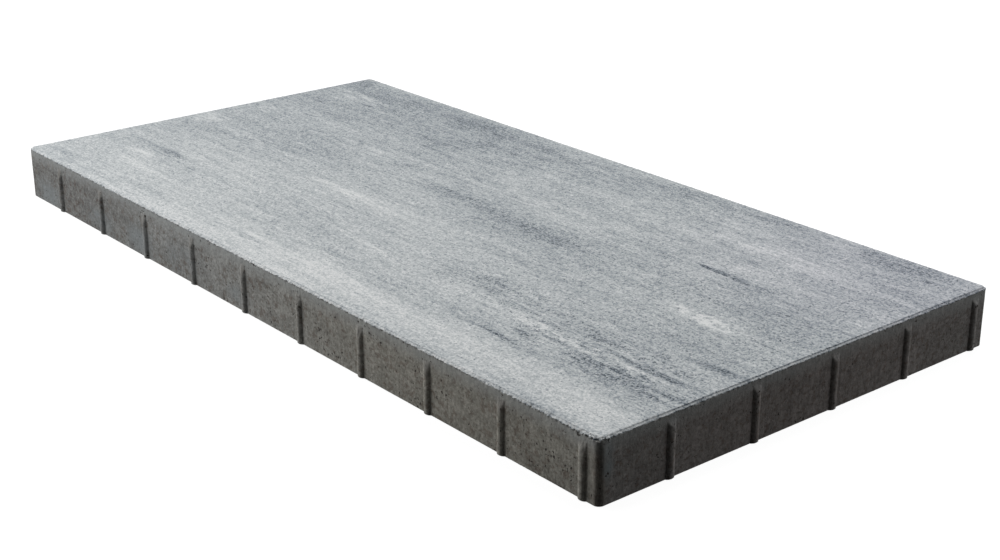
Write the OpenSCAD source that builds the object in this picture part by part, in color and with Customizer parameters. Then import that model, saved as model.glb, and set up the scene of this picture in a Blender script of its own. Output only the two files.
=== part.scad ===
// Concrete paving slab, pressed in one piece, with spacer nibs on all four sides.
// Millimetres. The slab lies flat: X along its length, Y across its width, Z up,
// with the origin at the centre of the underside.

/* [Slab] */
// Length of the slab, without the nibs
slab_length = 997.5; // [300:0.5:1200]
// Width of the slab, without the nibs
slab_width = 497.5; // [200:0.5:800]
// Thickness from the underside to the walking face
slab_thickness = 60; // [40:1:120]
// Radius of the four upright corners
corner_radius = 6; // [4:0.5:12]

/* [Arris] */
// Width of the narrow lip that runs round the walking face
lip_width = 1.7; // [0.5:0.1:3]
// Fall of the lip, from its inner edge out to the side
lip_fall = 0.3; // [0.1:0.1:1]
// Height of the walking face above the lip's inner edge
face_rise = 1.4; // [0.5:0.1:3]
// Run of the face's steep edge, from the lip in to the flat
face_edge_run = 0.7; // [0.2:0.1:1.5]

/* [Spacer nibs] */
// Width of a nib where it leaves the side
nib_width = 10; // [6:0.5:16]
// How far a nib stands proud, which is the joint between two slabs
nib_projection = 2.5; // [1:0.25:4]
// Distance between the centres of two nibs
nib_pitch = 100; // [60:1:150]
// Distance from the last nib's centre to the right-hand end of its side, seen from outside
nib_end_gap = 19; // [16:1:50]
// Distance from the walking face down to the tip of a nib
nib_tip_gap = 8; // [7:0.5:15]
// Height over which a nib's tip slopes back into a long side
long_side_ramp = 12; // [3:0.5:14]
// Height over which a nib's tip slopes back into a short side
short_side_ramp = 5; // [3:0.5:14]

/* [Hidden] */
$fn = 96;

// The nib is a slice of a cylinder whose axis lies inside the slab.
nib_radius = (nib_width * nib_width / 4 + nib_projection * nib_projection) / (2 * nib_projection);
nib_axis_depth = nib_radius - nib_projection;
nib_top = slab_thickness - nib_tip_gap;

// The slope of the tip runs on past its ends by this share of itself, so that it cuts the rib cleanly.
nib_run_on_share = 0.2;

// Nibs that fit on a side, clear of the rounded corner at its left-hand end.
nib_corner_gap = corner_radius + nib_width / 2;
function nib_count(side_length) =
    1 + floor((side_length - nib_end_gap - nib_corner_gap) / nib_pitch);

// Half of the section through the slab, from its middle out to one side and back over the lip.
function half_section(half_width) = [
    [0, 0],
    [half_width, 0],
    [half_width, slab_thickness - face_rise - lip_fall],
    [half_width - lip_width, slab_thickness - face_rise],
    [half_width - lip_width - face_edge_run, slab_thickness],
    [0, slab_thickness]
];

module section(full_width) {
    for (side = [0, 1])
        mirror([side, 0]) polygon(half_section(full_width / 2));
}

// Plain slab: a run each way between the corners, and a turned post at each corner.
module slab_body() {
    rotate([90, 0, 90])
        linear_extrude(slab_length - 2 * corner_radius, center = true) section(slab_width);
    rotate([90, 0, 0])
        linear_extrude(slab_width - 2 * corner_radius, center = true) section(slab_length);
    for (x_side = [-1, 1], y_side = [-1, 1])
        translate([
            x_side * (slab_length / 2 - corner_radius),
            y_side * (slab_width / 2 - corner_radius),
            0
        ])
            rotate_extrude() polygon(half_section(corner_radius));
}

// The slope that cuts a nib's tip, as an outline across the side: from inside the slab out past the crest.
function nib_slope(ramp) = [
    [-nib_axis_depth, 0],
    [(1 + nib_run_on_share) * nib_projection, 0],
    [(1 + nib_run_on_share) * nib_projection, nib_top - (1 + nib_run_on_share) * ramp],
    [-nib_run_on_share * nib_projection, nib_top + nib_run_on_share * ramp],
    [-nib_axis_depth, nib_top + nib_run_on_share * ramp]
];

// One nib, upright on its axis: a round rib whose tip is cut back into the side by a slope.
module nib(ramp) {
    intersection() {
        cylinder(r = nib_radius, h = slab_thickness);
        translate([0, -nib_axis_depth, 0])
            rotate([90, 0, -90])
                linear_extrude(2 * nib_width, center = true) polygon(nib_slope(ramp));
    }
}

// The nibs of the side that faces -Y, set out from its right-hand end.
module nib_row(side_length, face_distance, ramp) {
    for (k = [0 : nib_count(side_length) - 1])
        translate([
            side_length / 2 - nib_end_gap - k * nib_pitch,
            nib_axis_depth - face_distance,
            0
        ])
            nib(ramp);
}

// Every side has the same row, so the nibs of two slabs laid side by side miss each other.
module slab() {
    color("#a1a5a7") {
        slab_body();
        for (turn = [0, 180]) {
            rotate(turn) nib_row(slab_length, slab_width / 2, long_side_ramp);
            rotate(turn + 90) nib_row(slab_width, slab_length / 2, short_side_ramp);
        }
    }
}

slab();
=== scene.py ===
# %% [markdown]
# # A pressed concrete paving slab
# The slab is one piece. A steel mould is filled with grey backing concrete, a thin tinted facing mix goes
# on top, and a press squeezes both into one block that sets together. The mould leaves upright ribs on the
# sides, called spacer nibs, which keep the joint to the next slab open. The stamp leaves a low step and a
# narrow lip round the walking face.
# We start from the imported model, which fixes every size and place. Lengths below are millimetres, and one
# factor turns them into Blender's metres.

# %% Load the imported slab
import math

import bpy
import numpy as np
from mathutils import Matrix, Vector, noise
from mathutils.bvhtree import BVHTree


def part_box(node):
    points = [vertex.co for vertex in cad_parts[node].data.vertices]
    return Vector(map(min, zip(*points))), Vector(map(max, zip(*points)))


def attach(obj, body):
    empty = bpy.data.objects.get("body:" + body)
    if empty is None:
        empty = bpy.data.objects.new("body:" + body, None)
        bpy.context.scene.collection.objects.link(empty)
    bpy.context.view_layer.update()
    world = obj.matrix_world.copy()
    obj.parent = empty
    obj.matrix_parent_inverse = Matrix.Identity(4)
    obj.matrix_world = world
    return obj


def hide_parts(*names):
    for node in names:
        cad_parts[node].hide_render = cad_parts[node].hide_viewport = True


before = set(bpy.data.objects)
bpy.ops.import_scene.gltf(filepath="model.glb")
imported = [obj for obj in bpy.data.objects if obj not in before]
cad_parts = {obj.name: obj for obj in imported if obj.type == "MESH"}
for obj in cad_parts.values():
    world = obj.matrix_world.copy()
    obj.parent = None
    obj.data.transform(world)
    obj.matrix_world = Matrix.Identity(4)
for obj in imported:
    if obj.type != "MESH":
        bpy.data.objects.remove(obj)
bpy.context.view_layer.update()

MM = 0.001
low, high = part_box("slab")
print("packed slab in mm:", [round(side / MM, 1) for side in high - low])

# %% [markdown]
# ## The outline, seen from above
# A cube with bevels and an array of ribs would give the clean shape, but concrete isn't clean: its edges
# crumble at random, point by point. So we knit the skin ourselves, from columns of points that go round
# the slab and rows that climb its section. First come the sizes of the outline and the places of the nibs.

# %% Sizes of the outline
NIB_PROUD = 2.5
NIB_WIDTH = 10.0
NIB_PITCH = 100.0
NIB_END_GAP = 19.0
CORNER_RADIUS = 6.0
LENGTH = (high.x - low.x) / MM - 2 * NIB_PROUD
WIDTH = (high.y - low.y) / MM - 2 * NIB_PROUD
THICKNESS = (high.z - low.z) / MM


def nib_centres(side):
    """Distances of the nibs from the left-hand end of a side, seen from outside."""
    return np.arange((side - NIB_END_GAP) % NIB_PITCH, side, NIB_PITCH)


print("nibs on a long and a short side:", len(nib_centres(LENGTH)), len(nib_centres(WIDTH)))

# %% [markdown]
# ## Columns of points
# The columns stand close together, because a crumb of the edge is only a millimetre or two wide, and one
# stands exactly at each edge of a nib, so that the nib leaves the wall at a crisp line. Each side is laid
# out facing us, with the rounded corner at its right-hand end, and then turned into place.

# %% Columns of points round the slab
WALL_SPACING = 0.9
NIB_SPACING = 0.75
CORNER_STEPS = 13


def column_places(side):
    """Places of the columns along a side's straight stretch, with one exactly at each edge of a nib."""
    stops = [CORNER_RADIUS]
    for centre in nib_centres(side):
        stops += [centre - NIB_WIDTH / 2, centre + NIB_WIDTH / 2]
    stops.append(side - CORNER_RADIUS)
    places = []
    for number, (start, end) in enumerate(zip(stops[:-1], stops[1:])):
        spacing = NIB_SPACING if number % 2 else WALL_SPACING
        places.append(np.linspace(start, end, round((end - start) / spacing), endpoint=False))
    return np.append(np.concatenate(places), stops[-1])


def outline():
    """Each column's foot on the wall, outward direction, gap to a nib's centre and number of its side."""
    feet, outward, gaps, sides = [], [], [], []
    for turn, (side, depth) in enumerate([(LENGTH, WIDTH), (WIDTH, LENGTH)] * 2):
        along = column_places(side)
        bend = np.linspace(0, math.pi / 2, CORNER_STEPS)[1:-1]
        facing = np.array([[0.0, -1.0]] * len(along) + [[math.sin(b), -math.cos(b)] for b in bend])
        foot = np.full((len(facing), 2), [side / 2 - CORNER_RADIUS, CORNER_RADIUS - depth / 2])
        foot[: len(along), 0] = along - side / 2
        foot += CORNER_RADIUS * facing
        quarter = np.array(Matrix.Rotation(turn * math.pi / 2, 2))
        feet.append(foot @ quarter.T)
        outward.append(facing @ quarter.T)
        gap = np.abs(along[:, None] - nib_centres(side)).min(axis=1)
        gaps.append(np.concatenate([gap, np.full(len(bend), NIB_PITCH)]))
        sides.append(np.full(len(facing), turn))
    return [np.concatenate(part) for part in (feet, outward, gaps, sides)]


feet, outward, gaps, sides = outline()
print("columns round the slab:", len(feet))

# %% [markdown]
# ## The section, from the underside up to the walking face
# The section is a list of rows. A row says how far it lies inside the wall, how high it is, and how far
# its points may wander in or out and up or down, because fresh concrete leaves the mould with a crumbly
# lip but a fairly true wall. The last value is how high crumbs fill the foot of the step.

# %% Rows of the section
LIP_WIDTH = 1.7
LIP_FALL = 0.3
FACE_RISE = 1.4
FACE_EDGE_RUN = 0.7
LIP_TOP = THICKNESS - FACE_RISE
LIP_FOOT = LIP_TOP - LIP_FALL
FACING_FOOT = LIP_FOOT - 0.5
FACE_INSET = LIP_WIDTH + FACE_EDGE_RUN
RING_INSET = 5.0
ARRIS = 0.4
NIB_TOP = THICKNESS - 8.0

wall_levels = [12.0, 24.0, 34.0, *np.linspace(39.0, NIB_TOP, 9), LIP_FOOT - 3.0]
# Each row: inset, height, limit of the push in or out, limit of the lift, and fill.
rows = [
    (RING_INSET, 0.0, 0.0, 0.0, 0.0),
    (ARRIS, 0.0, 0.05, 0.0, 0.0),
    (0.0, ARRIS, 0.2, 0.1, 0.0),
    *[(0.0, level, 0.1, 0.0, 0.0) for level in wall_levels],
    (0.0, LIP_FOOT - 1.3, 0.28, 0.5, 0.0),
    (0.0, FACING_FOOT, 0.8, 0.8, 0.0),
    (0.25, LIP_FOOT, 0.75, 0.6, 0.0),
    (LIP_WIDTH / 2, LIP_TOP - LIP_FALL / 2, 0.6, 0.4, 0.25),
    (LIP_WIDTH - 0.1, LIP_TOP, 0.35, 0.3, 0.55),
    (LIP_WIDTH + 0.15, LIP_TOP + 0.35, 0.35, 0.25, 0.4),
    (FACE_INSET - 0.2, THICKNESS - 0.45, 0.35, 0.25, 0.1),
    (FACE_INSET + 0.1, THICKNESS - 0.1, 0.3, 0.1, 0.0),
    (FACE_INSET + 0.9, THICKNESS, 0.1, 0.0, 0.0),
    (RING_INSET, THICKNESS, 0.0, 0.0, 0.0),
]
inset, height, push_limit, lift_limit, fill = (np.array(part)[:, None] for part in zip(*rows))
print("rows in the section:", len(rows))

# %% [markdown]
# ## Spacer nibs
# A nib is a slice of an upright cylinder, and a slope cuts its tip back into the wall. A rib made as an
# object of its own would have to be joined to the wall afterwards, so here a nib is only how far the
# wall's points step out. On the short sides the cut is short and clean, and the smaller of the two, rib or
# slope, is how far a point stands proud. On the long sides the cut is long and worn round, and its surface
# is torn.

# %% How far the nibs stand proud
LONG_SIDE_RAMP = 12.0
SHORT_SIDE_RAMP = 5.0
NIB_RADIUS = (NIB_WIDTH ** 2 / 4 + NIB_PROUD ** 2) / (2 * NIB_PROUD)


def nib_relief(gap, level, ramp):
    """How far a rib stands proud at a gap from its centre line, and how far its tip's slope lets it."""
    rib = np.sqrt(np.clip(NIB_RADIUS ** 2 - gap ** 2, 0, None)) - (NIB_RADIUS - NIB_PROUD)
    slope = (NIB_TOP - level) * NIB_PROUD / ramp
    return np.clip(rib, 0, None), np.clip(slope, 0, None)


ramps = np.where(sides % 2 == 0, LONG_SIDE_RAMP, SHORT_SIDE_RAMP)
rib, slope = nib_relief(gaps, height, ramps)
worn = rib * np.clip(slope / NIB_PROUD, 0, 1)
relief = np.where(inset < LIP_WIDTH / 2, np.where(sides % 2, np.minimum(rib, slope), worn), 0)
torn_tip = np.where((slope > 0) & (slope < rib) & (sides % 2 == 0), 1.0, 0.0)
print("a nib stands proud by", round(relief.max(), 2), "mm")

# %% [markdown]
# ## Sizes of the crumbs
# Noise will move the points of each row. The lip wanders most: grains of a millimetre or two break away
# when the stamp lifts, and now and then a longer flake goes. The corner that took knocks in transport
# crumbled most of all. Blender's noise functions give the same values on every run, so the slab never
# changes.

# %% Crumbs, flakes and knocks
# Widths of the bumps, and the shares of the coarser ones.
CRUMB = 1.6
GRAIN = 4.2
GRAIN_SHARE = 0.9
WAVE = 26.0
WAVE_SHARE = 0.25
# Flakes: width, the noise that starts one, depth, drop, and how crumbly a row must be to lose them.
FLAKE = 9.0
FLAKE_START = 0.2
FLAKE_DEPTH = 1.8
FLAKE_DROP = 0.8
FLAKY_ROW = 0.3
# Roughness of a torn slope, and how much less the short sides crumble and fill.
TEAR = 0.35
SHORT_SIDE_SHARE = 0.8
SHORT_SIDE_FILL = 0.4
# The knocked corner: its place, and how far and how strongly the knocks reach.
KNOCKED_CORNER = (LENGTH / 2 - 3, 3 - WIDTH / 2, LIP_TOP)
KNOCK_REACH = 12.0
KNOCK_GAIN = 1.5
KNOCK_BITE = 0.25
print("crumbs, grains, flakes and waves in mm:", CRUMB, GRAIN, FLAKE, WAVE)

# %% [markdown]
# ## Crumbling edges
# A displacement modifier moves all points by one pattern, but here each row has limits of its own, so we
# move the points ourselves: first in or out, then up or down. Flakes take concrete away, nearly all of it
# from the rows of the lip, and the torn slopes of the nibs get the same crumbs as the lip.

# %% Move the points


def wander(points, size, seed):
    """Smooth random values from about -1 to 1, with bumps that are one size (mm) across."""
    shifted = points.reshape(-1, 3) / size + seed
    return np.array([noise.noise(place) for place in shifted.tolist()]).reshape(points.shape[:-1])


def crumbled_skin():
    """The points of the skin, by row and column, after the concrete has left its mould."""
    shift = (relief - inset)[:, :, None]
    levels = np.broadcast_to(height, relief.shape)[:, :, None]
    skin = np.concatenate([feet + shift * outward, levels], axis=2)
    knock = np.exp(-(np.linalg.norm(skin - KNOCKED_CORNER, axis=2) / KNOCK_REACH) ** 2)
    calm = np.where(sides % 2, SHORT_SIDE_SHARE, 1.0)
    gain = calm + KNOCK_GAIN * knock ** 0.5
    flake = np.clip(wander(skin, FLAKE, 7.3) - FLAKE_START, 0, None) * FLAKE_DEPTH * calm
    crumbs = wander(skin, CRUMB, 2.7) + GRAIN_SHARE * wander(skin, GRAIN, 8.3)
    hang = wander(skin, CRUMB, 11.9) + GRAIN_SHARE * wander(skin, GRAIN, 4.6)
    push = push_limit * (crumbs * gain + WAVE_SHARE * wander(skin, WAVE, 5.1))
    push -= np.where(push_limit >= FLAKY_ROW, push_limit * flake + KNOCK_BITE * knock, 0)
    push += TEAR * torn_tip * crumbs
    skin[:, :, :2] += push[:, :, None] * outward
    skin[:, :, 2] += lift_limit * (hang * gain - FLAKE_DROP * flake - KNOCK_BITE * knock)
    skin[:, :, 2] += fill * np.where(sides % 2, SHORT_SIDE_FILL, 1.0)
    skin[:, :, 2] = np.clip(skin[:, :, 2], 0, THICKNESS)
    return skin


skin = crumbled_skin()
print("points in the skin:", skin.shape[0] * skin.shape[1])

# %% [markdown]
# ## The two flat faces
# The walking face and the underside are plain grids of points, so that light and colour run over them
# evenly. The underside hardly shows, so its grid is coarser. All points go into one list, and from here on
# we handle their numbers in that list.

# %% Grids of points
FACE_CELL = 9.0
GRID_INSET = 9.0


def flat_grid(level, cell):
    """A grid of points over a flat face, shaped by row and column."""
    half_x = LENGTH / 2 - GRID_INSET
    half_y = WIDTH / 2 - GRID_INSET
    x = np.linspace(-half_x, half_x, round(2 * half_x / cell) + 1)
    y = np.linspace(-half_y, half_y, round(2 * half_y / cell) + 1)
    return np.stack([*np.meshgrid(x, y), np.full((len(y), len(x)), level)], axis=2)


face_grid = flat_grid(THICKNESS, FACE_CELL)
bed_grid = flat_grid(0.0, 2 * FACE_CELL)
points = np.concatenate([part.reshape(-1, 3) for part in (skin, face_grid, bed_grid)])
skin_numbers = np.arange(skin.shape[0] * skin.shape[1]).reshape(skin.shape[:2])
face_numbers = skin_numbers.size + np.arange(face_grid[:, :, 0].size).reshape(face_grid.shape[:2])
bed_numbers = face_numbers.max() + 1 + np.arange(bed_grid[:, :, 0].size).reshape(bed_grid.shape[:2])
print("grid points:", face_numbers.shape, bed_numbers.shape)

# %% [markdown]
# ## A zip between two rings
# The skin's last ring has many more points than the border of a grid. We join them with a zip: we walk
# round both rings at once and always close the triangle whose next point comes first. A fill operator
# would do this too, but it may choose long thin triangles that shade badly.

# %% Zip the grids to the skin


def laps(points):
    """How far round the slab each point lies, from 0 to 4, starting at the front left corner."""
    x = points[:, 0] / np.abs(points[:, 0]).max()
    y = points[:, 1] / np.abs(points[:, 1]).max()
    front = [-y >= np.abs(x), x >= np.abs(y), y >= np.abs(x)]
    return np.select(front, [0.5 + x / 2, 1.5 + y / 2, 2.5 - x / 2], 3.5 - y / 2)


def zip_rings(outer, inner):
    """Triangles between two rings of point numbers, wound anticlockwise as seen from above."""
    rings = []
    for ring in (outer, inner):
        order = np.argsort(laps(points[ring]), kind="stable")
        ring = np.append(ring[order], ring[order[0]])
        rings.append((ring, np.append(laps(points[ring[:-1]]), 4 + laps(points[ring[:1]]))))
    (outer, outer_lap), (inner, inner_lap) = rings
    triangles, i, j = [], 0, 0
    while i < len(outer) - 1 or j < len(inner) - 1:
        outer_next = outer_lap[i + 1] if i < len(outer) - 1 else math.inf
        inner_next = inner_lap[j + 1] if j < len(inner) - 1 else math.inf
        if outer_next <= inner_next:
            triangles.append((outer[i], outer[i + 1], inner[j]))
            i += 1
        else:
            triangles.append((outer[i], inner[j + 1], inner[j]))
            j += 1
    return triangles


def grid_edge(numbers):
    """The border of a grid of point numbers, as one ring."""
    return np.concatenate([numbers[0, :], numbers[1:, -1], numbers[-1, -2::-1], numbers[-2:0:-1, 0]])


face_zip = zip_rings(skin_numbers[-1], grid_edge(face_numbers))
bed_zip = zip_rings(skin_numbers[0], grid_edge(bed_numbers))
print("triangles in the two zips:", len(face_zip), len(bed_zip))

# %% [markdown]
# ## Faces, sorted by finish
# Skin, walking face and underside share their points, so the slab is one watertight surface with three
# finishes. The facing mix wraps over the lip, the sides reach up to the foot of the lip, and the underside
# is seen from below, so its faces are wound the other way round.

# %% Knit the faces


def quads(numbers, closed):
    """The faces between neighbouring rows and columns of point numbers."""
    if closed:
        numbers = np.column_stack([numbers, numbers[:, 0]])
    corners = (numbers[:-1, :-1], numbers[:-1, 1:], numbers[1:, 1:], numbers[1:, :-1])
    return np.stack(corners, axis=2).reshape(-1, 4).tolist()


lip_row = int(np.argmax(height[:, 0] >= FACING_FOOT))
top_faces = quads(skin_numbers[lip_row:], closed=True) + quads(face_numbers, closed=False) + face_zip
side_faces = quads(skin_numbers[1: lip_row + 1], closed=True)
bed_faces = quads(skin_numbers[:2], closed=True)
bed_faces += [face[::-1] for face in quads(bed_numbers, closed=False) + bed_zip]
finish_numbers = np.repeat([0, 1, 2], [len(top_faces), len(side_faces), len(bed_faces)])
print("faces on top, sides and underside:", len(top_faces), len(side_faces), len(bed_faces))

# %% [markdown]
# ## One closed mesh
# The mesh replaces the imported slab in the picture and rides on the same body. It is shaded smooth, except
# where two faces meet at a clear angle, such as the foot of a nib. Each point also remembers whether it
# lies on a torn nib tip, so that the finish can show the sand there.

# %% Make the slab
SHARP_ANGLE = math.radians(34)

mesh = bpy.data.meshes.new("paving_slab")
mesh.from_pydata((points * MM).tolist(), [], top_faces + side_faces + bed_faces)
mesh.polygons.foreach_set("material_index", finish_numbers.astype(np.int32))
tip_values = np.zeros(len(points), dtype=np.float32)
tip_values[: torn_tip.size] = torn_tip.ravel()
mesh.attributes.new("torn_tip", "FLOAT", "POINT").data.foreach_set("value", tip_values)
mesh.shade_smooth()
mesh.set_sharp_from_angle(angle=SHARP_ANGLE)
mesh.validate()
slab = bpy.data.objects.new("paving_slab", mesh)
bpy.context.collection.objects.link(slab)
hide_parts("slab")
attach(slab, "root")
mesh.calc_loop_triangles()
print("triangles:", len(mesh.loop_triangles))

# %% [markdown]
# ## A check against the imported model
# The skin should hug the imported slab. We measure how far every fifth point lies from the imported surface.

# %% Measure the skin
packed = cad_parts["slab"].data
packed_tree = BVHTree.FromPolygons([v.co for v in packed.vertices], [p.vertices for p in packed.polygons])
distances = np.array([packed_tree.find_nearest(point)[3] for point in (points[::5] * MM).tolist()]) / MM
print("mm from the packed slab, mean and most:", distances.mean().round(3), distances.max().round(2))

# %% [markdown]
# ## Flat layout of the skin
# A baked colour map needs each face laid flat without overlaps. Blender's own unwrapping would cut the
# skin into many islands, so we lay it out ourselves. The walking face gets the lower half of the map, the
# four sides lie above it in strips at the same scale, and the underside is squeezed into what is left.

# %% Lay the faces flat
MAP_WIDTH = 1030.0
FACE_MARGIN = 5.0
STRIP_MARGIN = 10.0
STRIP_FLOOR = 0.50
STRIP_STEP = 0.075
BED_FLOOR = 0.81
BED_SQUEEZE = 0.36


def lay_flat():
    """Map coordinates for every corner of every face, in the order in which the faces were knitted."""
    loop_points = np.zeros(len(mesh.loops), dtype=np.int32)
    mesh.loops.foreach_get("vertex_index", loop_points)
    spread = points[:, :2] + [MAP_WIDTH / 2, WIDTH / 2 + FACE_MARGIN]
    layout = spread[loop_points] / MAP_WIDTH
    in_bed = np.repeat(finish_numbers, [len(p.vertices) for p in mesh.polygons]) == 2
    layout[in_bed, 1] = BED_FLOOR + layout[in_bed, 1] * BED_SQUEEZE
    hop = np.linalg.norm(np.diff(np.vstack([feet, feet[:1]]), axis=0), axis=1)
    start = np.concatenate([[0.0], np.cumsum(hop)])
    first = np.array([start[np.argmax(sides == turn)] for turn in range(4)])
    left = (start[:-1] - first[sides] + STRIP_MARGIN) / MAP_WIDTH
    right = (start[1:] - first[sides] + STRIP_MARGIN) / MAP_WIDTH
    climb = np.concatenate([[0.0], np.cumsum(np.hypot(np.diff(inset[:, 0]), np.diff(height[:, 0])))])
    strip = STRIP_FLOOR + STRIP_STEP * sides
    loop = sum(len(face) for face in top_faces)
    for row in range(1, lip_row):
        bottom = strip + climb[row] / MAP_WIDTH
        top = strip + climb[row + 1] / MAP_WIDTH
        corners = np.stack([left, bottom, right, bottom, right, top, left, top], axis=1)
        layout[loop: loop + 4 * len(feet)] = corners.reshape(-1, 2)
        loop += 4 * len(feet)
    return layout


layout = lay_flat()
mesh.uv_layers.new(name="OFBake").data.foreach_set("uv", layout.astype(np.float32).ravel())
print("map spans", layout.min(axis=0).round(3), "to", layout.max(axis=0).round(3))

# %% [markdown]
# ## Helpers for the finishes
# Colours are written as sRGB hex values, as read off a colour card, and one function turns them into the
# linear values that shaders use. Another adds one node with its settings and links, so that a material
# reads as a list of steps. A third starts a material of dry concrete. Concrete bends light about as glass
# does, but its open pores swallow most of the gloss, so the specular level is low.

# %% Colour, node and material
CONCRETE_IOR = 1.5
CONCRETE_GLOSS = 0.12


def linear(code):
    """Linear RGBA of an sRGB hex colour."""
    channels = [int(code[i: i + 2], 16) / 255 for i in (1, 3, 5)]
    return [c / 12.92 if c <= 0.04045 else ((c + 0.055) / 1.055) ** 2.4 for c in channels] + [1.0]


def add_node(tree, kind, sockets=None, out=0, stops=(), **settings):
    """Adds one node, sets it, fills its sockets with values or links, and hands back one of its outputs."""
    made = tree.nodes.new("ShaderNode" + kind)
    for name, value in settings.items():
        setattr(made, name, value)
    for name, value in (sockets or {}).items():
        if isinstance(value, bpy.types.NodeSocket):
            tree.links.new(value, made.inputs[name])
        else:
            made.inputs[name].default_value = value
    for number, (position, code) in enumerate(stops):
        elements = made.color_ramp.elements
        element = elements[number] if number < 2 else elements.new(position)
        element.position = position
        element.color = linear(code)
    return made.outputs[out]


def concrete(name):
    """A new material with the gloss of dry concrete, its node tree, its shader and the place in the slab."""
    material = bpy.data.materials.new(name)
    material.use_nodes = True
    tree = material.node_tree
    shader = tree.nodes["Principled BSDF"]
    shader.inputs["IOR"].default_value = CONCRETE_IOR
    shader.inputs["Specular IOR Level"].default_value = CONCRETE_GLOSS
    place = add_node(tree, "TexCoord", out="Object")
    return material, tree, shader, place


print("mid grey in linear light:", round(linear("#808080")[0], 3))

# %% [markdown]
# ## Pressed concrete, walking face
# The facing mix is poured from several hoppers, light grey, mid grey and anthracite, and a blade draws it
# along the mould. That leaves long drifts, streaks and short dashes, all in the direction of the length,
# over a grain of sand. We build a single value, the tone, and read the colour off a ramp at the end.
# Nothing poured is straight, so we first stir the places that the patterns read: gently for all of them,
# and far along the length for the strokes, whose ends the blade tore.

# %% Stir the places
# Matt, slightly bluish grey: light drifts, dark streaks and a sandy grain that sparkles a little.
face_finish, tree, shader, place = concrete("pressed concrete, walking face")


def stir(tree, place, size, shift, roughness, reach):
    """A move of up to half a reach (mm) each way, from noise with bumps of a size (x, y, z in mm)."""
    scale = [1 / (MM * side) for side in size]
    fitted = add_node(tree, "VectorMath", {0: place, 1: scale, 2: [shift] * 3}, operation="MULTIPLY_ADD")
    settings = {"Vector": fitted, "Scale": 1.0, "Detail": 3.0, "Roughness": roughness}
    swing = add_node(tree, "TexNoise", settings, out="Color")
    reach = Vector(reach) * MM
    return add_node(tree, "VectorMath", {0: swing, 1: reach, 2: -reach / 2}, operation="MULTIPLY_ADD")


sway = stir(tree, place, (38, 38, 38), 0.0, 0.5, (30, 5, 0))
tear = stir(tree, place, (45, 7, 7), 3.7, 0.6, (120, 14, 0))
swayed = add_node(tree, "VectorMath", {0: place, 1: sway}, operation="ADD")
torn = add_node(tree, "VectorMath", {0: swayed, 1: tear}, operation="ADD")
print("nodes that stir the places:", len(tree.nodes))

# %% [markdown]
# ## Patterns of the facing mix
# Each pattern is noise with bumps of a real size, and the larger ones are stretched along X, as the blade
# drew them. The sand is made of cells, each with a random shade of its own. Real grains are half a
# millimetre across, which wouldn't show in the picture, so they are drawn at 1.4 mm.

# %% Drifts, streaks, flecks and sand
PATTERN_SHIFT = 7.3
PATTERN_START = 1.1
FACE_SAND = 1.4


def layers(tree, place, sizes):
    """One pattern of noise per name, from its bumps' width (x, y, z in mm), detail and roughness."""
    made = {}
    for number, (name, (size, detail, roughness)) in enumerate(sizes.items()):
        scale = [1 / (MM * side) for side in size]
        start = [PATTERN_SHIFT * number + PATTERN_START] * 3
        fitted = add_node(tree, "VectorMath", {0: place, 1: scale, 2: start}, operation="MULTIPLY_ADD")
        settings = {"Vector": fitted, "Scale": 1.0, "Detail": detail, "Roughness": roughness}
        made[name] = add_node(tree, "TexNoise", settings)
    return made


pattern = layers(tree, swayed, {
    "drift": ((430, 75, 75), 2.0, 0.5),
    "streak": ((95, 8.5, 8.5), 4.0, 0.6),
    "fleck": ((17, 3.4, 3.4), 2.0, 0.6),
    "dash": ((54, 7.5, 7.5), 3.0, 0.62),
    "sand": ((3.6, 2.8, 2.8), 2.0, 0.7),
    "crumb_shadow": ((2.4, 2.4, 2.4), 2.0, 0.6),
    "patch": ((46, 24, 24), 3.0, 0.62),
    "flake": ((10, 6, 6), 3.0, 0.65),
})
sand = add_node(tree, "TexVoronoi", {"Vector": place, "Scale": 1 / (MM * FACE_SAND)}, out="Color")
grain_shade, grain_lot = [add_node(tree, "SeparateXYZ", {0: sand}, out=axis) for axis in "XY"]
print("patterns of the facing mix:", list(pattern))

# %% [markdown]
# ## Drawn and cloudy zones
# The tone starts as a weighted sum of the patterns. In some zones the blade drew the mixes out into clear
# dark and light dashes, and where it let them be they lie in cloudy patches. A painted mask would need an
# image, so we mark the zones with soft blots, each a stretched ball that fades towards its edge.

# %% Tone of the drifts
BLOT_EDGE = 1.15
BLOT_CORE = 0.15
THROUGH = 90.0
# Each zone or stroke: centre x and y, half length and half width in mm, and a strength.
DRAWN_ZONE = [(340, -135, 260, 62, 0.9), (390, -10, 300, 280, 0.3), (-330, 40, 300, 240, 0.25)]
CLOUDY_ZONE = [(40, 190, 800, 270, 0.42), (350, 180, 270, 150, 0.24)]


def blots(tree, place, spots):
    """The sum of soft-edged blots, each with a centre and half size (x, y, z in mm) and a strength."""
    total = 0.0
    for centre, half, strength in spots:
        scale = [1 / (MM * side) for side in half]
        start = [-at / side for at, side in zip(centre, half)]
        offset = add_node(tree, "VectorMath", {0: place, 1: scale, 2: start}, operation="MULTIPLY_ADD")
        far = add_node(tree, "VectorMath", {0: offset}, operation="LENGTH", out="Value")
        fade = {"Value": far, "From Min": BLOT_EDGE, "From Max": BLOT_CORE, "To Max": strength}
        soft = add_node(tree, "MapRange", fade, interpolation_type="SMOOTHSTEP")
        total = add_node(tree, "Math", {0: soft, 1: total}, operation="ADD")
    return total


def over_face(strokes):
    """Strokes as blots that reach right through the facing mix."""
    return [((x, y, THICKNESS), (long, wide, THROUGH), amount) for x, y, long, wide, amount in strokes]


def weigh(tree, start, parts):
    """A start value plus each pattern's swing about its middle, times a weight."""
    total = start - sum(weight / 2 for _, weight in parts)
    for value, weight in parts:
        total = add_node(tree, "Math", {0: value, 1: weight, 2: total}, operation="MULTIPLY_ADD")
    return total


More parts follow.
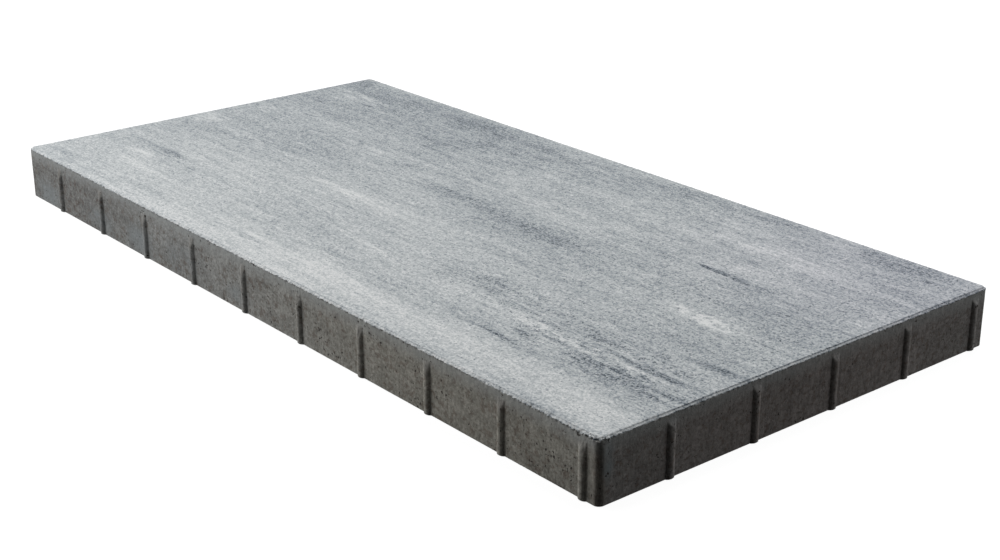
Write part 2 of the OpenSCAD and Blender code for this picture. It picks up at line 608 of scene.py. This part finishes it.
swings = [("drift", 0.30), ("streak", 0.58), ("fleck", 0.54), ("sand", 0.86)]
tone = weigh(tree, 0.57, [(pattern[name], weight) for name, weight in swings] + [(grain_shade, 0.40)])
drawn = blots(tree, swayed, over_face(DRAWN_ZONE))
for start, end, step in ((0.52, 0.70, -0.16), (0.46, 0.30, 0.24)):
    dash = {"Value": pattern["dash"], "From Min": start, "From Max": end, "To Max": step}
    dash = add_node(tree, "Math", {0: add_node(tree, "MapRange", dash), 1: drawn}, operation="MULTIPLY")
    tone = add_node(tree, "Math", {0: tone, 1: dash}, operation="ADD")
patch = add_node(tree, "Math", {0: pattern["patch"], 1: 0.5}, operation="SUBTRACT")
cloudy = blots(tree, place, over_face(CLOUDY_ZONE))
tone = add_node(tree, "Math", {0: patch, 1: cloudy, 2: tone}, operation="MULTIPLY_ADD")
print("zones placed by hand:", len(DRAWN_ZONE + CLOUDY_ZONE))

# %% [markdown]
# ## Strokes of the facing mix
# Some strokes are this slab's own, so we list them one by one. A stroke makes the tone lighter or darker:
# broad washes that make the face lighter towards the front and darker towards the back, and short strokes
# that the blade drew out and tore. Here and there the pale mix came off the blade in flakes.

# %% Strokes listed one by one
BROAD_WASHES = [
    (-230, -150, 600, 175, 0.08),
    (-40, -226, 620, 48, 0.10),
    (400, -214, 190, 34, 0.12),
    (160, -120, 230, 110, 0.06),
    (-330, 170, 420, 130, -0.11),
    (150, 200, 420, 90, -0.05),
]
PALE_STROKES = [
    (107, -213, 200, 26, 0.08),
    (0, -246, 640, 12, 0.08),
    (-60, -62, 150, 26, 0.05),
    (0, -50, 130, 16, 0.07),
    (-131, -53, 70, 14, 0.15),
    (-356, -181, 80, 14, 0.08),
    (-392, -156, 34, 10, 0.18),
    (-424, 179, 38, 19, 0.24),
    (-463, 60, 16, 18, 0.16),
    (-478, -15, 28, 36, 0.14),
    (-217, 58, 52, 10, 0.07),
    (-43, 71, 45, 14, 0.08),
    (110, 60, 170, 70, 0.05),
    (20, -212, 160, 30, 0.04),
    (-36, 0, 50, 8, 0.08),
    (-71, 128, 35, 16, 0.06),
    (28, -135, 45, 8, 0.12),
    (267, 14, 32, 12, 0.13),
    (267, 163, 140, 48, 0.04),
    (330, 165, 62, 26, 0.08),
    (388, -15, 48, 13, 0.06),
    (370, -136, 130, 5, 0.05),
    (375, -153, 60, 4, 0.06),
    (468, -222, 50, 36, 0.07),
    (-95, -215, 120, 35, 0.09),
]
DARK_STROKES = [
    (-290, 220, 240, 36, -0.11),
    (-160, 214, 140, 24, -0.07),
    (-484, 227, 30, 18, -0.14),
    (-292, 8, 160, 40, -0.10),
    (-303, -21, 36, 9, -0.12),
    (75, 22, 200, 34, -0.11),
    (0, 26, 100, 14, -0.08),
    (125, 18, 90, 13, -0.10),
    (-50, 36, 70, 7, -0.10),
    (303, 82, 28, 6, -0.23),
    (328, 81, 40, 5, -0.20),
    (366, 79, 45, 5, -0.14),
    (-406, -131, 85, 8, -0.12),
    (-355, -131, 36, 8, -0.14),
    (-264, -217, 75, 9, -0.12),
    (-456, -227, 50, 10, -0.14),
    (-78, -167, 30, 9, -0.08),
    (28, -174, 40, 8, -0.12),
    (196, -110, 110, 27, -0.11),
    (356, -131, 170, 58, -0.09),
    (435, -158, 80, 20, -0.05),
    (274, -178, 50, 5, -0.18),
    (452, -128, 80, 6, -0.16),
    (478, -83, 44, 7, -0.24),
    (430, -75, 100, 40, -0.04),
    (420, 228, 90, 26, -0.10),
    (455, 140, 60, 85, -0.06),
    (445, 30, 90, 100, -0.05),
    (-350, -225, 170, 40, -0.03),
    (-455, -30, 90, 230, -0.05),
]
FLAKY_STROKES = [(388, -13, 64, 16, 0.40), (345, -139, 160, 10, 0.28)]
print("strokes:", len(BROAD_WASHES + PALE_STROKES + DARK_STROKES + FLAKY_STROKES))

# %% [markdown]
# ## Torn strokes and flakes
# A plain soft blot would look sprayed on. The strokes are therefore read at the torn places and made
# stronger and weaker along the streaks, and the flakes are broken up by a pattern of their own.

# %% Add the strokes to the tone
broken = {"Value": pattern["streak"], "From Min": 0.34, "From Max": 0.66, "To Min": 0.4, "To Max": 1.6}
broken = add_node(tree, "MapRange", broken)
strokes = blots(tree, torn, over_face(PALE_STROKES + DARK_STROKES))
strokes = add_node(tree, "Math", {0: strokes, 1: broken}, operation="MULTIPLY")
chips = {"Value": pattern["flake"], "From Min": 0.42, "From Max": 0.58, "To Max": 1.3}
chips = add_node(tree, "MapRange", chips)
flakes = blots(tree, swayed, over_face(FLAKY_STROKES))
flakes = add_node(tree, "Math", {0: chips, 1: flakes}, operation="MULTIPLY")
washes = blots(tree, swayed, over_face(BROAD_WASHES))
for part in (washes, strokes, flakes):
    tone = add_node(tree, "Math", {0: tone, 1: part}, operation="ADD")
print("nodes so far:", len(tree.nodes))

# %% [markdown]
# ## Dark grains
# Where anthracite mixed in, single dark grains lie among light ones. Darkening the whole area would look
# like a stain, so we only raise the share of grains that turn dark. Each grain drew a random number, its
# lot, and turns dark when that is below the share at its place. Dashes clump the dark grains together.

# %% Add the dark grains to the tone
# As for the strokes, but the last value is the share of dark grains.
GRAINY_STROKES = [
    (340, -60, 330, 210, 0.07),
    (450, -158, 92, 21, 0.33),
    (308, 82, 36, 7, 0.26),
    (380, -130, 150, 40, 0.22),
    (330, -158, 60, 10, 0.30),
    (274, -178, 60, 6, 0.25),
    (196, -110, 120, 28, 0.24),
    (425, 228, 90, 26, 0.26),
    (455, 140, 60, 85, 0.10),
    (64, 22, 150, 17, 0.13),
    (-355, -131, 40, 10, 0.25),
]
clump = {"Value": pattern["dash"], "From Min": 0.42, "From Max": 0.6, "To Min": 0.15, "To Max": 1.7}
clump = add_node(tree, "MapRange", clump)
grainy = blots(tree, torn, over_face(GRAINY_STROKES))
dark_share = weigh(tree, 0.05, [(pattern["streak"], 0.6), (pattern["fleck"], 0.8)])
dark_share = add_node(tree, "Math", {0: grainy, 1: clump, 2: dark_share}, operation="MULTIPLY_ADD")
won = add_node(tree, "Math", {0: dark_share, 1: grain_lot}, operation="SUBTRACT")
dark = add_node(tree, "MapRange", {"Value": won, "From Min": 0.0, "From Max": 0.1, "To Max": -0.32})
tone = add_node(tree, "Math", {0: tone, 1: dark}, operation="ADD")
print("grainy strokes:", len(GRAINY_STROKES))

# %% [markdown]
# ## The worn lip, with painted light and shade
# The geometry already crumbles the lip. Here it gets painted light and shade: dark nicks that are painted
# shadows under the crumbs, painted light where the step shades the lip, and painted shade along the foot of
# the step and over the lip near the far right corner.

# %% Add painted light and shade on the lip to the tone
# Each mark: centre and half size (x, y, z in mm), and how much lighter or darker it makes the tone.
# The dark marks are painted shade along the foot of the step and over the lip near the far right corner; the
# pale marks are painted light on the lip where the step shades it, and at the near corner.
LIP_LIGHT_AND_SHADE = [
    ((499, 205, 58.4), (7, 85, 2.4), -0.10),
    ((497.8, 0, 58.9), (1.5, 330, 0.8), 0.12),
    ((496.5, 20, 59.7), (0.9, 330, 0.7), -0.30),
    ((100, -246.5, 59.8), (600, 0.9, 0.7), -0.12),
    ((330, -248.2, 58.8), (330, 2.5, 1.4), 0.12),
    ((482, -243, 59.5), (32, 16, 3), 0.12),
]
level = add_node(tree, "SeparateXYZ", {0: place}, out="Z")
on_lip = {"Value": level, "From Min": (LIP_TOP + 0.2) * MM, "From Max": (LIP_TOP - 0.6) * MM}
on_lip = add_node(tree, "MapRange", on_lip)
# Dark nicks along the lip: painted shadows under the overhanging crumbs.
crumb_shadow = {"Value": pattern["crumb_shadow"], "From Min": 0.50, "From Max": 0.62, "To Max": -0.55}
crumb_shadow = add_node(tree, "MapRange", crumb_shadow)
crumb_shadow = add_node(tree, "Math", {0: on_lip, 1: crumb_shadow}, operation="MULTIPLY")
for part in (crumb_shadow, blots(tree, place, LIP_LIGHT_AND_SHADE)):
    tone = add_node(tree, "Math", {0: tone, 1: part}, operation="ADD")
print("marks on the lip:", len(LIP_LIGHT_AND_SHADE))

# %% [markdown]
# ## Colour, gloss and grit of the walking face
# The ramp runs from anthracite to pale grey. Towards the far right corner the pigment gives a faint violet
# cast, which multiplies, so that the grain stays. The sand also changes the roughness a little and stands
# up as fine grit, too small for the mesh, so that is a bump of a quarter of a millimetre.

# %% Finish the walking face
# A new ramp has two stops, so its ends come first in these lists.
FACE_TONES = [(0.0, "#4b535b"), (1.0, "#d9dada"), (0.28, "#858c92"), (0.5, "#a8adb0"), (0.72, "#bfc3c4")]
VIOLET = [(450, 215, 290, 225, 0.5)]
FACE_GRIT = 0.25

colour = add_node(tree, "ValToRGB", {"Fac": tone}, stops=FACE_TONES)
tinted = {0: blots(tree, place, over_face(VIOLET)), 6: colour, 7: linear("#fbf7ff")}
colour = add_node(tree, "Mix", tinted, out=2, data_type="RGBA", blend_type="MULTIPLY")
tree.links.new(colour, shader.inputs["Base Color"])
matt = {"Value": pattern["sand"], "From Min": 0.3, "From Max": 0.7, "To Min": 0.8, "To Max": 0.95}
tree.links.new(add_node(tree, "MapRange", matt), shader.inputs["Roughness"])
grit = weigh(tree, 0.5, [(pattern["sand"], 1.0), (grain_shade, 0.5)])
bump = add_node(tree, "Bump", {"Height": grit, "Strength": 0.6, "Distance": FACE_GRIT * MM})
tree.links.new(bump, shader.inputs["Normal"])
print("nodes in the walking face:", len(tree.nodes))

# %% [markdown]
# ## Mould-struck concrete, sides
# The sides slid along steel when the slab left its mould. That leaves a dull grey with brownish specks and
# upright smears. We start with the tone again, from clouds, mottle, smears and grit, with sand drawn a
# little coarser than on the face, because the backing mix is. Clay in the sand warms the right half, which
# we add as tints that multiply.

# %% Ground colour of the sides
# Dull grey, speckled, with pin-holes.
side_finish, tree, shader, place = concrete("mould-struck concrete, sides")
SIDE_SAND = 1.9
SIDE_TONES = [(0.1, "#595755"), (0.9, "#c2c2c1"), (0.5, "#929391")]
# Each blot on the sides: centre and half size (x, y, z in mm) and strength.
# This list darkens the front wall towards both ends; at the left end that is painted shade, which evens out
# the extra light of the near lamp.
END_SHADE = [((-440, -249, 30), (360, 12, 90), -0.19), ((480, -249, 30), (200, 12, 90), -0.06)]
REDDISH = [((499, 0, 30), (12, 420, 110), 0.5)]
OCHRE = [((340, -249, 30), (440, 12, 110), 0.30)]

pattern = layers(tree, place, {
    "cloud": ((55, 55, 40), 4.0, 0.55),
    "mottle": ((10, 10, 8), 3.0, 0.6),
    "smear": ((2.6, 2.6, 42), 2.0, 0.5),
    "grit": ((3.6, 3.6, 3.2), 2.0, 0.7),
    "wave": ((24, 24, 24), 3.0, 0.6),
    "crumb": ((3.2, 3.2, 3.2), 2.0, 0.6),
    "rust": ((6, 6, 5), 2.0, 0.6),
    "crumb_shadow": ((2.4, 2.4, 2.4), 2.0, 0.6),
})
sand = add_node(tree, "TexVoronoi", {"Vector": place, "Scale": 1 / (MM * SIDE_SAND)}, out="Color")
grain_shade = add_node(tree, "SeparateXYZ", {0: sand}, out="X")
swings = [("cloud", 0.36), ("mottle", 0.49), ("smear", 0.24), ("grit", 0.66)]
tone = weigh(tree, 0.5, [(pattern[name], weight) for name, weight in swings] + [(grain_shade, 0.18)])
tone = add_node(tree, "Math", {0: tone, 1: blots(tree, place, END_SHADE)}, operation="ADD")
colour = add_node(tree, "ValToRGB", {"Fac": tone}, stops=SIDE_TONES)
for spots, code in ((REDDISH, "#c8b0ab"), (OCHRE, "#f9e6bb")):
    tinted = {0: blots(tree, place, spots), 6: colour, 7: linear(code)}
    colour = add_node(tree, "Mix", tinted, out=2, data_type="RGBA", blend_type="MULTIPLY")
print("patterns of the sides:", list(pattern))

# %% [markdown]
# ## Specks and slurry
# What lies over the ground colour is a list of coats, each a mask and a colour, and they are laid on at
# the end. The first two are brownish specks from iron in the stone, and pale bluish cement slurry, which
# ran down the mould in places.

# %% Coats of specks and slurry
SLURRY = [
    ((-455, -249, 12), (40, 8, 24), 0.6),
    ((-330, -249, 14), (48, 8, 22), 0.6),
    ((-235, -249, 16), (40, 8, 26), 0.6),
    ((-140, -249, 20), (50, 8, 24), 0.6),
    ((-30, -249, 16), (30, 8, 14), 0.5),
    ((499, -239, 42), (8, 8, 28), 1.5),
]
speck = {"Value": pattern["rust"], "From Min": 0.52, "From Max": 0.66, "To Max": 0.5}
run = {"Value": pattern["cloud"], "From Min": 0.35, "From Max": 0.62}
run = {0: blots(tree, place, SLURRY), 1: add_node(tree, "MapRange", run)}
coats = [
    (add_node(tree, "MapRange", speck), "#5f5046"),
    (add_node(tree, "Math", run, operation="MULTIPLY"), "#8a9194"),
]
print("coats so far:", len(coats))

# %% [markdown]
# ## The facing mix, seen from the side
# The top few millimetres of the sides show the facing mix, bluer and lighter, with a ragged border. We add
# noise to the height before we cut it off: slow waves for the broad band, and crumbs for the thin edge
# under the lip. The torn tips of the nibs show bare sand, and dark nicks right under the lip are painted
# shadows under the overhanging crumbs.

# %% Coats near the top
level = add_node(tree, "SeparateXYZ", {0: place}, out="Z")
for name, depth, sway, blur, most, code in (
    ("wave", 11.5, 8.0, 6.0, 0.5, "#a8acac"),
    ("crumb", 1.9, 2.4, 0.4, 0.8, "#adb3b6"),
):
    border = {0: pattern[name], 1: sway * MM, 2: level}
    border = add_node(tree, "Math", border, operation="MULTIPLY_ADD")
    edge = THICKNESS - depth + sway / 2
    band = {"Value": border, "From Min": (edge - blur) * MM, "From Max": (edge + blur) * MM, "To Max": most}
    coats.append((add_node(tree, "MapRange", band), code))

tip = add_node(tree, "Attribute", out="Fac", attribute_name="torn_tip")
coats.append((add_node(tree, "Math", {0: tip, 1: 0.6}, operation="MULTIPLY"), "#8c8a86"))
# Painted shadow: dark nicks right under the lip, where the crumbs above overhang.
under_lip = {"Value": level, "From Min": (LIP_FOOT - 2.2) * MM, "From Max": (LIP_FOOT - 0.6) * MM}
under_lip = add_node(tree, "MapRange", under_lip)
crumb_shadow = {"Value": pattern["crumb_shadow"], "From Min": 0.50, "From Max": 0.60, "To Max": 0.8}
crumb_shadow = add_node(tree, "MapRange", crumb_shadow)
coats.append((add_node(tree, "Math", {0: under_lip, 1: crumb_shadow}, operation="MULTIPLY"), "#3d3b38"))
print("coats so far:", len(coats))

# %% [markdown]
# ## Air holes
# Air was trapped against the steel, mostly in clusters. Each cell of a pattern may hold one hole in its
# middle. A random number per cell, a slow wave and a few listed blots decide how far it opens, and
# bending the cells first keeps the holes from being round.

# %% Coat of air holes
HOLE_CELL = 3.4
HOLE_BEND = 3.6
HOLES = [
    ((499, -240, 26), (8, 6, 7), 1.1),
    ((499, -233, 16), (8, 7, 5), 1.2),
    ((499, -134, 34), (8, 8, 7), 0.5),
    ((499, 137, 54), (8, 12, 4), 0.9),
    ((300, -249, 26), (26, 8, 9), 0.5),
    ((120, -249, 22), (30, 8, 12), 0.4),
    ((438, -249, 25), (28, 8, 7), 0.6),
]
bent = add_node(tree, "TexNoise", {"Vector": place, "Scale": 1 / (MM * 1.8), "Detail": 2.0}, out="Color")
bent = add_node(tree, "VectorMath", {0: bent, 1: [HOLE_BEND * MM] * 3, 2: place}, operation="MULTIPLY_ADD")
cells = {"Vector": bent, "Scale": 1 / (MM * HOLE_CELL)}
gap = add_node(tree, "TexVoronoi", cells, out="Distance")
hole_lot = add_node(tree, "SeparateXYZ", {0: add_node(tree, "TexVoronoi", cells, out="Color")}, out="X")
holes = add_node(tree, "Math", {0: blots(tree, place, HOLES), 1: 0.45, 2: 0.01}, operation="MULTIPLY_ADD")
open_share = weigh(tree, 0.0, [(pattern["wave"], 0.9), (hole_lot, 0.5)])
reach = add_node(tree, "Math", {0: holes, 1: open_share}, operation="ADD")
rim = add_node(tree, "Math", {0: reach, 1: gap}, operation="SUBTRACT")
hole_and_shade = add_node(tree, "MapRange", {"Value": rim, "From Min": -0.06, "From Max": 0.1})
# The holes are painted dark: painted shade inside them, since they are only a shallow bump.
coats.append((hole_and_shade, "#403c38"))
print("clusters of holes placed by hand:", len(HOLES))

# %% [markdown]
# ## Coats and relief of the sides
# Now each coat is mixed over what lies below it. Grit, smears and sand give a relief of less than half a
# millimetre, and the holes are sunk into it. They are finer than the spacing of the mesh, so they are a
# bump.

# %% Finish the sides
SIDE_GRIT = 0.4

for share, code in coats:
    colour = add_node(tree, "Mix", {0: share, 6: colour, 7: linear(code)}, out=2, data_type="RGBA")
tree.links.new(colour, shader.inputs["Base Color"])
shader.inputs["Roughness"].default_value = 0.9
grit = weigh(tree, 0.5, [(pattern["grit"], 0.7), (pattern["smear"], 0.3), (grain_shade, 0.3)])
grit = add_node(tree, "Math", {0: hole_and_shade, 1: -1.5, 2: grit}, operation="MULTIPLY_ADD")
bump = add_node(tree, "Bump", {"Height": grit, "Strength": 1.0, "Distance": SIDE_GRIT * MM})
tree.links.new(bump, shader.inputs["Normal"])
print("nodes in the sides:", len(tree.nodes))

# %% [markdown]
# ## Struck concrete, underside
# Nobody sees the underside once the slab is laid. It is the coarse backing mix, struck level: flat grey
# with stones just under the skin. With it we have all three finishes, in the order in which the faces name
# them.

# %% Finish the underside
# Flat grey with faint round stones.
bed_finish, tree, shader, place = concrete("struck concrete, underside")
BED_STONE = 9.0
BED_GRIT = 0.5

pattern = layers(tree, place, {"cloud": ((80, 80, 80), 4.0, 0.55), "grit": ((2.5, 2.5, 2.5), 2.0, 0.6)})
stone = add_node(tree, "TexVoronoi", {"Vector": place, "Scale": 1 / (MM * BED_STONE)}, out="Distance")
tone = weigh(tree, 0.5, [(pattern["cloud"], 0.6), (pattern["grit"], 0.5), (stone, 0.3)])
colour = add_node(tree, "ValToRGB", {"Fac": tone}, stops=[(0.1, "#5f5c58"), (0.9, "#a5a29d")])
tree.links.new(colour, shader.inputs["Base Color"])
shader.inputs["Roughness"].default_value = 0.95
bump = add_node(tree, "Bump", {"Height": tone, "Strength": 0.8, "Distance": BED_GRIT * MM})
tree.links.new(bump, shader.inputs["Normal"])

for finish in (face_finish, side_finish, bed_finish):
    mesh.materials.append(finish)
print("finishes:", [finish.name for finish in mesh.materials])

# %% [markdown]
# ## The studio floor
# The slab lies on a plain white studio floor. To the eye the floor glows almost white by itself, and the
# light that falls on it adds the rest, so it still darkens a little in the slab's shadow. To other rays
# the floor is dark, so it throws little light up onto the sides, as on a studio table with black cloth
# around it.

# %% Floor
FLOOR_SIZE = 30.0
FLOOR_DROP = 0.0003
FLOOR_GLOW = 0.94

floor_mesh = bpy.data.meshes.new("studio_floor")
half = FLOOR_SIZE / 2
corners = [(x * half, y * half, -FLOOR_DROP) for x, y in ((-1, -1), (1, -1), (1, 1), (-1, 1))]
floor_mesh.from_pydata(corners, [], [(0, 1, 2, 3)])
floor = bpy.data.objects.new("studio_floor", floor_mesh)
bpy.context.collection.objects.link(floor)


def seen_by_eye(tree):
    """1 for rays that show the background to the eye: straight, mirrored or through glass."""
    seen = 0.0
    for ray in ("Is Camera Ray", "Is Glossy Ray", "Is Transmission Ray"):
        shown = add_node(tree, "LightPath", out=ray)
        seen = add_node(tree, "Math", {0: shown, 1: seen}, operation="MAXIMUM")
    return seen


white = bpy.data.materials.new("white studio floor")
white.use_nodes = True
tree = white.node_tree
lit = add_node(tree, "BsdfDiffuse", {"Color": linear("#757575")})
glow = add_node(tree, "Emission", {"Color": linear("#ffffff"), "Strength": FLOOR_GLOW})
bright = add_node(tree, "AddShader", {0: lit, 1: glow})
dull = add_node(tree, "BsdfDiffuse", {"Color": linear("#383838")})
look = add_node(tree, "MixShader", {0: seen_by_eye(tree), 1: dull, 2: bright})
tree.links.new(look, tree.nodes["Material Output"].inputs["Surface"])
floor_mesh.materials.append(white)
print("floor is", FLOOR_SIZE, "m wide")

# %% [markdown]
# ## The background
# The world behind the floor's edge is white to the eye as well. To other rays it is nearly dark and only
# keeps the deepest shadows from going black, so that the lamps alone shape the slab.

# %% World
WORLD_FILL = 0.025

world = bpy.data.worlds.new("white studio")
world.use_nodes = True
bpy.context.scene.world = world
tree = world.node_tree
strength = add_node(tree, "MapRange", {"Value": seen_by_eye(tree), "To Min": WORLD_FILL, "To Max": 1.0})
background = tree.nodes["Background"]
background.inputs["Color"].default_value = linear("#ffffff")
tree.links.new(strength, background.inputs["Strength"])
print("the world gives", WORLD_FILL, "of white to the slab")

# %% [markdown]
# ## Four soft lamps
# A large soft box hangs behind the slab and gives most of the light on the walking face. A second stands
# low and far off at the left and rakes along the long side, which gives the nibs their bright rims and
# dark flanks. A small one near the left end softens those flanks there, and a weak one at the right just
# opens the short side. An area lamp's light on a surface falls with the square of its distance, so the
# power is worked out from the share of full light that we want at the slab.

# %% Lamps
FULL_LIGHT = math.pi ** 2


def soft_box(name, towards, distance, share, width, tall):
    """A lamp in a direction from the slab, strong enough to give that share of full light there."""
    lamp = bpy.data.lights.new(name, "AREA")
    lamp.shape = "RECTANGLE"
    lamp.size = width
    lamp.size_y = tall
    lamp.energy = FULL_LIGHT * distance ** 2 * share
    box = bpy.data.objects.new(name, lamp)
    direction = Vector(towards).normalized()
    box.location = direction * distance
    box.rotation_euler = direction.to_track_quat("Z", "Y").to_euler()
    box.visible_camera = False
    bpy.context.collection.objects.link(box)
    print(name, "gives", share, "of full light with", round(lamp.energy, 1), "W")


soft_box("back_box", (-0.25, 0.35, 0.90), 7.0, 0.58, 3.0, 3.0)
soft_box("left_box", (-0.86, -0.42, 0.30), 4.0, 0.76, 1.3, 1.2)
soft_box("near_box", (-0.38, -0.84, 0.38), 1.25, 0.20, 1.0, 0.35)
soft_box("right_box", (0.475, 0.752, 0.455), 2.42, 0.36, 1.6, 0.8)

# %% [markdown]
# ## The camera
# The camera stands at the near corner, a little above the slab, as in a catalogue picture. Its angles and
# focal length were fitted to the straight edges of the slab, so the perspective matches.

# %% Camera
AZIMUTH = math.radians(50.390)
ELEVATION = math.radians(21.489)
ROLL = math.radians(-0.067)
FOCAL_LENGTH = 61.11
CAMERA_DISTANCE = 1.8552
AIM = Vector((18.55, 49.58, -28.78)) * MM

lens = bpy.data.cameras.new("camera")
lens.lens = FOCAL_LENGTH
camera = bpy.data.objects.new("camera", lens)
back = Vector((
    math.sin(AZIMUTH) * math.cos(ELEVATION),
    -math.cos(AZIMUTH) * math.cos(ELEVATION),
    math.sin(ELEVATION),
))
turn = (-back).to_track_quat("-Z", "Y").to_matrix().to_4x4() @ Matrix.Rotation(ROLL, 4, "Z")
camera.matrix_world = Matrix.Translation(AIM + back * CAMERA_DISTANCE) @ turn
bpy.context.collection.objects.link(camera)
bpy.context.scene.camera = camera
bpy.context.scene.view_settings.view_transform = "Standard"
print("camera at", [round(side, 3) for side in camera.location])
